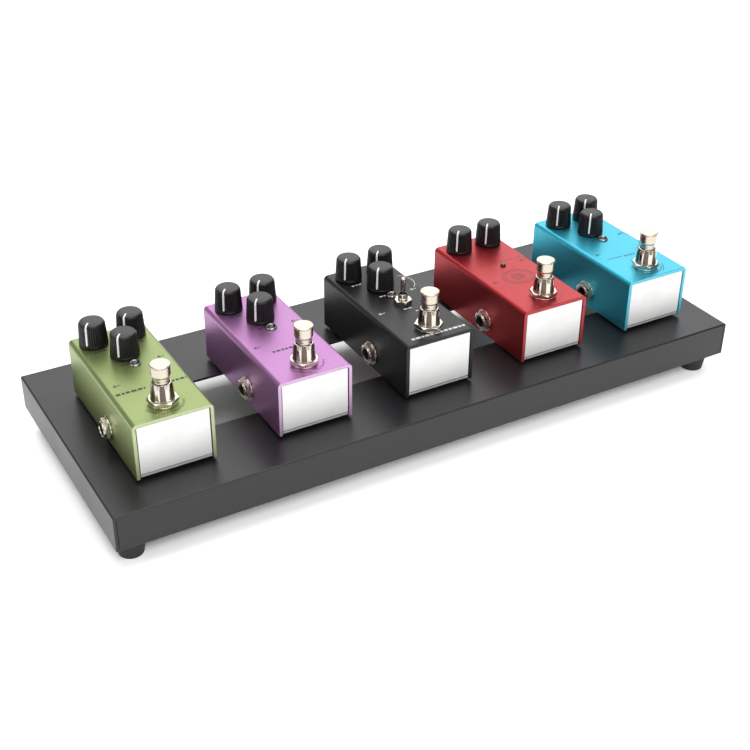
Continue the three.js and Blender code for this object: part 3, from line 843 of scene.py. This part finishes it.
def bushing_mesh(turn):
    """Ribbed, slightly tapered bushing of the footswitch with its box, and darker nickel in its grooves as painted
    shade.
    """
    sleeve = mesh_of(lathe(dense(BUSHING_PATH, 0.35), 144, closed=True, ripple=ribbed))
    # Faces in the grooves take the darker nickel: painted shade.
    for face in sleeve.polygons:
        x, y, z = face.center / MM
        face.material_index = int(math.hypot(x, y) > INSIDE_BUSHING and in_groove(math.atan2(y, x), z))
    sleeve.transform(Matrix.Rotation(math.radians(turn), 4, "Z"))
    box = bevelled(mesh_of(block(*SWITCH_BOX)), 0.3)
    box = combined(box, mesh_of(rod(BORE, -8, 13)), "DIFFERENCE")
    for made in (sleeve, box):
        made.materials.append(NICKEL)
        made.materials.append(GROOVE_SHADE_NICKEL)
    return combined(box, sleeve, "UNION")


def add_footswitch(colour, at):
    top = at + Vector((0, SWITCH_Y, CASE["height"])) * MM
    fixed = ("board", "nickel_plate", top)
    bushing = smoothed(bushing_mesh(SWITCH_TURN[colour]))
    metal = [NICKEL, GROOVE_SHADE_NICKEL]
    piece(f"{colour}_footswitch_bushing", bushing, metal, *fixed, f"{colour}_footswitch_body")
    washer = mesh_of(washer_shape(6.0, 7.2, 0.05, 1.05))
    piece(f"{colour}_footswitch_washer", smoothed(washer), NICKEL, *fixed)
    nut = nut_mesh(14.0, 1.1, 3.3, 6.1, NUT_TURN[colour])
    piece(f"{colour}_footswitch_nut", smoothed(nut), NICKEL, *fixed)
    plunger = smoothed(mesh_of(lathe(PLUNGER_PATH)), 40)
    node = f"{colour}_footswitch_plunger"
    piece(f"{colour}_footswitch_cap", plunger, SATIN_NICKEL, node, "nickel_plate", top, node)


# ---- jacks, lamp bezel and toggle ----

JACK_BORE, JACK_RADIUS = 3.3, 4.7
JACK_BOX = (-6.5, 6.5, -6.5, 6.5, -24.3, -2.3, 0.8)
BEZEL_SECTION = [
    (1.75, -3.5),
    (2.6, -3.5),
    (2.6, 0.05),
    (3.2, 0.05, 0.1),
    (3.2, 0.5, 0.2),
    (2.7, 1.35, 0.25),
    (1.75, 0.5, 0.1),
]
TOGGLE_RADIUS = 2.7
TOGGLE_BOX = (-4, 4, -4, 4, -8.3, -2.3, 0.4)
LEVER_PATH = [(0, -1), (1.1, -1, 0.3), (1.1, 6.6, 0.4), (1.4, 7.2, 0.4), (1.4, 15.6, 0.9), (0, 15.6)]


def jack_meshes():
    """Parts of a jack along Z with their materials, z = 0 on the case side."""
    thread = thread_profile(JACK_RADIUS, 2.9, 3.9, 0.5, 0.22)
    sleeve = [(JACK_BORE, -3.0), (JACK_RADIUS, -3.0), (JACK_RADIUS, 2.8), *thread]
    sleeve += [(4.3, 4.1), (3.7, 4.1), (JACK_BORE, 3.7)]
    liner = [(2.6, -20), (JACK_BORE, -20), (JACK_BORE, 3.0), (3.1, 3.2), (2.9, 3.0), (2.9, -19)]
    case = bevelled(mesh_of(block(*JACK_BOX)), 0.3)
    return {
        "sleeve": (mesh_of(lathe(sleeve, closed=True)), NICKEL),
        "washer": (mesh_of(washer_shape(4.75, 6.6, 0.02, 1.05)), NICKEL),
        "nut": (nut_mesh(11.2, 1.1, 3.2, 4.75, 8), NICKEL),
        "liner": (mesh_of(lathe(liner, closed=True)), MOULDED),
        "housing": (combined(case, mesh_of(rod(JACK_BORE, -21, 0)), "DIFFERENCE"), MOULDED),
    }


def add_jack(colour, name, at):
    side, y = JACKS[name]
    node = f"{colour}_jack_{name}"
    place = at + Vector((side * SIDE_X, y, JACK_Z)) * MM
    for part, (mesh, material) in jack_meshes().items():
        mesh.transform(Matrix.Rotation(side * math.pi / 2, 4, "Y"))
        stands_for = node if part == "sleeve" else None
        piece(f"{node}_{part}", smoothed(mesh), material, "board", "nickel_plate", place, stands_for)


def add_bezel(colour, at):
    top = at + Vector((*LAMP, CASE["height"])) * MM
    bezel = smoothed(mesh_of(lathe(rounded(BEZEL_SECTION, closed=True), 48, closed=True)))
    piece(f"{colour}_lamp_ring", bezel, DARK_NICKEL, "board", "nickel_plate", top, f"{colour}_led_bezel")


def add_toggle(at):
    top = at + Vector((*TOGGLE, CASE["height"])) * MM
    fixed = ("board", "nickel_plate", top)
    thread = thread_profile(TOGGLE_RADIUS, -1.0, 2.6, 0.6, 0.22)
    section = [(2.1, -1.8), (TOGGLE_RADIUS, -1.8), *thread]
    section += [(2.75, 2.75), (2.75, 3.4), (2.5, 3.6), (2.75, 3.9), (2.4, 5.9), (2.25, 6.0), (2.1, 5.9)]
    bushing = mesh_of(lathe(section, 48, closed=True))
    box = bevelled(mesh_of(block(*TOGGLE_BOX)), 0.2)
    piece("black_toggle_bushing", smoothed(bushing), NICKEL, *fixed, "black_toggle_body")
    housing = combined(box, mesh_of(rod(2.2, -4, 0)), "DIFFERENCE")
    piece("black_toggle_housing", smoothed(housing), MOULDED, *fixed)
    piece("black_toggle_nut", smoothed(nut_mesh(9, 0.02, 2.6, 2.75, 20)), NICKEL, *fixed)
    lever = smoothed(mesh_of(lathe(rounded(LEVER_PATH), 40)))
    piece("black_toggle_bat", lever, NICKEL, "black_toggle_lever", "nickel_plate", top, "black_toggle_lever")


# ---- printed marks: plain bars, ticks and arcs, no lettering ----

INK_HIGH = 0.03
DASH_GAP, SHORTEST_DASH = 0.7, 0.4


def bar(x0, y0, x1, y1, width):
    along = Vector((x1 - x0, y1 - y0)).normalized()
    across = Vector((-along.y, along.x)) * width / 2
    a, b = Vector((x0, y0)), Vector((x1, y1))
    return prism([tuple(a - across), tuple(b - across), tuple(b + across), tuple(a + across)], -INK_HIGH, INK_HIGH)


def arc(cx, cy, rx, ry, start, end, width, steps=28):
    angles = [math.radians(start + (end - start) * k / steps) for k in range(steps + 1)]
    half = width / 2
    outer = [(cx + (rx + half) * math.cos(a), cy + (ry + half) * math.sin(a)) for a in angles]
    inner = [(cx + (rx - half) * math.cos(a), cy + (ry - half) * math.sin(a)) for a in reversed(angles)]
    return prism(outer + inner, -INK_HIGH, INK_HIGH)


def oval(cx, cy, rx, ry, width):
    return arc(cx, cy, rx, ry, 0, 359.99, width, 60)


def dashes(x0, x1, y, lengths, width):
    """A row of bars of uneven length between x0 and x1."""
    made, x, i = [], x0, 0
    while x < x1:
        end = min(x1, x + lengths[i % len(lengths)])
        if end - x > SHORTEST_DASH:
            made.append(bar(x, y, end, y, width))
        x = end + DASH_GAP
        i += 1
    return made


def flow_arrow(x, y, way):
    """A small arrow by a jack: a line with an open head."""
    tail, tip = x - way * 1.6, x + way * 2.2
    barb = tip - way * 1.3
    lines = ((tail, y, tip, y), (tip, y, barb, y + 1.1), (tip, y, barb, y - 1.1))
    return [bar(*ends, 0.45) for ends in lines]


def ring_marks(radius, start, end, step, length):
    """Short ticks round the footswitch."""
    made = []
    angle = start
    while angle <= end:
        a = math.radians(angle)
        c, s = math.cos(a), math.sin(a)
        far = radius + length
        made.append(bar(radius * c, SWITCH_Y + radius * s, far * c, SWITCH_Y + far * s, 0.5))
        angle += step
    return made


PRINT = {
    "green": [
        *dashes(-18, -2.6, 29.4, (2.4, 1.4, 2.0, 2.8), 1.7),
        *dashes(10.4, 19, 29, (2.2, 1.6), 1.7),
        *ring_marks(9.3, 196, 262, 8, 1.4),
        *ring_marks(9.3, 284, 350, 8, 1.4),
    ],
    "purple": [
        *dashes(-9.6, 11, 29.6, (1.4, 2.2, 1.6), 1.5),
        *ring_marks(9.3, 205, 262, 8, 1.2),
        *ring_marks(9.3, 290, 348, 8, 1.2),
    ],
    "black": [
        *dashes(-15, 18.4, 5.4, (2.0, 2.8, 1.6, 2.4), 1.7),
        *dashes(-1.5, 4, 36, (2.2,), 0.9),
        *dashes(3.4, 7.2, 31.4, (1.6,), 0.8),
        arc(9.5, 64, 11.4, 10.5, -48, 56, 0.35),
    ],
    "red": [
        bar(-13, 58.4, -7.6, 58.4, 0.4),
        bar(-6.6, 58.4, 12, 58.4, 0.3),
        bar(13.2, 58.4, 16.3, 58.4, 0.4),
        oval(1.1, 37.9, 9.6, 8.2, 0.35),
        oval(1.1, 37.9, 8.0, 6.6, 0.25),
        *[
            bar(-3.6 + abs(k) * 0.8, 37.9 + 1.5 * k, 5.8 - abs(k) * 0.8, 37.9 + 1.5 * k, 0.45)
            for k in (-2, -1, 0, 1, 2)
        ],
        *ring_marks(9.6, 200, 340, 20, 0.9),
    ],
    "cyan": [
        arc(0.5, 46.5, 20.2, 15.0, -62, 40, 0.35),
        bar(-14, 29.8, -3, 29.3, 0.5),
        *dashes(-2, 6, 28.8, (1.5, 1.2), 1.1),
        arc(0, SWITCH_Y, 9.4, 9.4, 215, 335, 0.5),
        arc(0, SWITCH_Y, 10.9, 10.9, 300, 350, 0.4),
    ],
}


def print_shapes(colour, knobs):
    """An arrow by each jack, a row of dashes by each knob and the pedal's own marks."""
    shapes = flow_arrow(-14.2, 37.6, -1) + flow_arrow(15.8, 54.2, -1)
    for k in knobs:
        x, y = KNOBS[k]
        middle = x - 2.8 if k == "front" else x
        shapes += dashes(middle - 3.1, middle + 3.1, y - 9.4, (1.9, 1.2, 1.6), 1.0)
    return shapes + PRINT[colour]


# ---- one pedal ----


def add_pedal(colour):
    low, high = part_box(f"{colour}_cover")
    at = Vector(((low.x + high.x) / 2, low.y, low.z))
    knobs = ["left", "right"] + ([] if colour == "red" else ["front"])
    cover = smoothed(cover_mesh(colour, knobs), 40)
    paint = [PAINT[colour], END_HIGHLIGHT_PAINT[colour]]
    piece(f"{colour}_cover_shell", cover, paint, "board", f"{colour}_anodised", at, f"{colour}_cover")
    chassis = smoothed(chassis_mesh(), 50)
    metal = [PLATE, CREASE_SHADE]
    piece(f"{colour}_chassis_sheet", chassis, metal, "board", "bare_aluminium", at, f"{colour}_chassis")
    pad = bevelled(mesh_of(block(*HOOK_PAD)), 0.3)
    piece(f"{colour}_hook_pad", smoothed(pad), HOOKS, "board", "bare_aluminium", at)
    add_circuit(colour, at, knobs)
    for name in knobs:
        add_knob(colour, at, name)
    add_footswitch(colour, at)
    for name in JACKS:
        add_jack(colour, name, at)
    if colour != "red":
        add_bezel(colour, at)
    if colour == "black":
        add_toggle(at)
    ink = PALE_INK if colour == "black" else DARK_INK
    top = at + Vector((0, 0, CASE["height"])) * MM
    piece(f"{colour}_printing", mesh_of(*print_shapes(colour, knobs)), ink, "board", f"{colour}_anodised", top)


# ---- studio ----

FLOOR_HALF, FLOOR_DEPTH = 9000, 40
# The floor glows from a little inside the board's outline, where the photograph's floor is white.
GLOW = {"inset_x": 9, "inset_y": 16, "fade": 9, "strength": 0.4}
# Azimuth counted from +X and elevation in degrees, distance, width and height in metres, radiance.
SOFTBOXES = {
    "back_softbox": (60, 38, 1.6, 1.8, 1.2, 1.6),
    "front_softbox": (-98, 35, 1.4, 1.3, 0.8, 2.6),
    "left_softbox": (180, 30, 1.6, 0.7, 0.9, 1.2),
    "overhead_softbox": (90, 88, 1.5, 1.4, 1.4, 2.2),
}
# The camera fitted to the edges in the photograph: angles in degrees, place in metres.
CAMERA = {"azimuth": -30.088, "elevation": 31.65, "roll": 0.453, "lens": 61.907}
CAMERA_PLACE = (-0.324446, -0.546942, 0.406844)


def add_floor():
    mesh = mesh_of(block(-FLOOR_HALF, FLOOR_HALF, -FLOOR_HALF, FLOOR_HALF, -FLOOR_DEPTH, 0))
    floor = bpy.data.objects.new("floor", mesh)
    SCENE.collection.objects.link(floor)
    made = Finish("pale_floor", Emission_Color=(1, 1, 1, 1))
    half_x, half_y = (TRAY_HIGH.x - GLOW["inset_x"]) * MM, (TRAY_HIGH.y - GLOW["inset_y"]) * MM
    made.glow_outside(half_x, half_y, GLOW["fade"] * MM, GLOW["strength"])
    made.colour(made.noise(3), [(0.3, (0.9, 0.9, 0.9)), (0.7, (0.93, 0.93, 0.93))])
    made.roughness(made.noise(30), 0.5, 0.6)
    mesh.materials.append(made.material)


def add_softbox(name, azimuth, elevation, distance, width, height, radiance):
    """A soft light on a sphere round the object, aimed at the middle."""
    light = bpy.data.lights.new(name, "AREA")
    light.shape = "RECTANGLE"
    light.size, light.size_y = width, height
    light.energy = radiance * math.pi * width * height
    obj = bpy.data.objects.new(name, light)
    SCENE.collection.objects.link(obj)
    a, e = math.radians(azimuth), math.radians(elevation)
    out = Vector((math.cos(a) * math.cos(e), math.sin(a) * math.cos(e), math.sin(e)))
    obj.location = out * distance
    obj.rotation_mode = "QUATERNION"
    obj.rotation_quaternion = (-out).to_track_quat("-Z", "Y")
    obj.visible_camera = False


def add_studio():
    world = bpy.data.worlds.new("studio")
    world.use_nodes = True
    background = world.node_tree.nodes["Background"]
    background.inputs["Color"].default_value = (1, 1, 1, 1)
    background.inputs["Strength"].default_value = 0.4
    SCENE.world = world
    for name, values in SOFTBOXES.items():
        add_softbox(name, *values)
    SCENE.view_settings.view_transform = "Standard"


def add_camera():
    """Camera at the photograph's viewing angle."""
    azimuth, elevation, roll = (math.radians(CAMERA[k]) for k in ("azimuth", "elevation", "roll"))
    level = math.cos(elevation)
    back = Vector((math.sin(azimuth) * level, -math.cos(azimuth) * level, math.sin(elevation)))
    right = (-back).cross(Vector((0, 0, 1))).normalized()
    up = right.cross(-back)
    across = right * math.cos(roll) + up * math.sin(roll)
    upward = up * math.cos(roll) - right * math.sin(roll)
    camera = bpy.data.cameras.new("camera")
    camera.sensor_width = 36
    camera.lens = CAMERA["lens"]
    camera.clip_start = 0.01
    obj = bpy.data.objects.new("camera", camera)
    SCENE.collection.objects.link(obj)
    matrix = Matrix((across, upward, back)).transposed().to_4x4()
    matrix.translation = Vector(CAMERA_PLACE)
    obj.matrix_world = matrix
    SCENE.camera = obj


add_camera()
add_studio()
add_floor()
add_board()
for colour in COLOURS:
    add_pedal(colour)
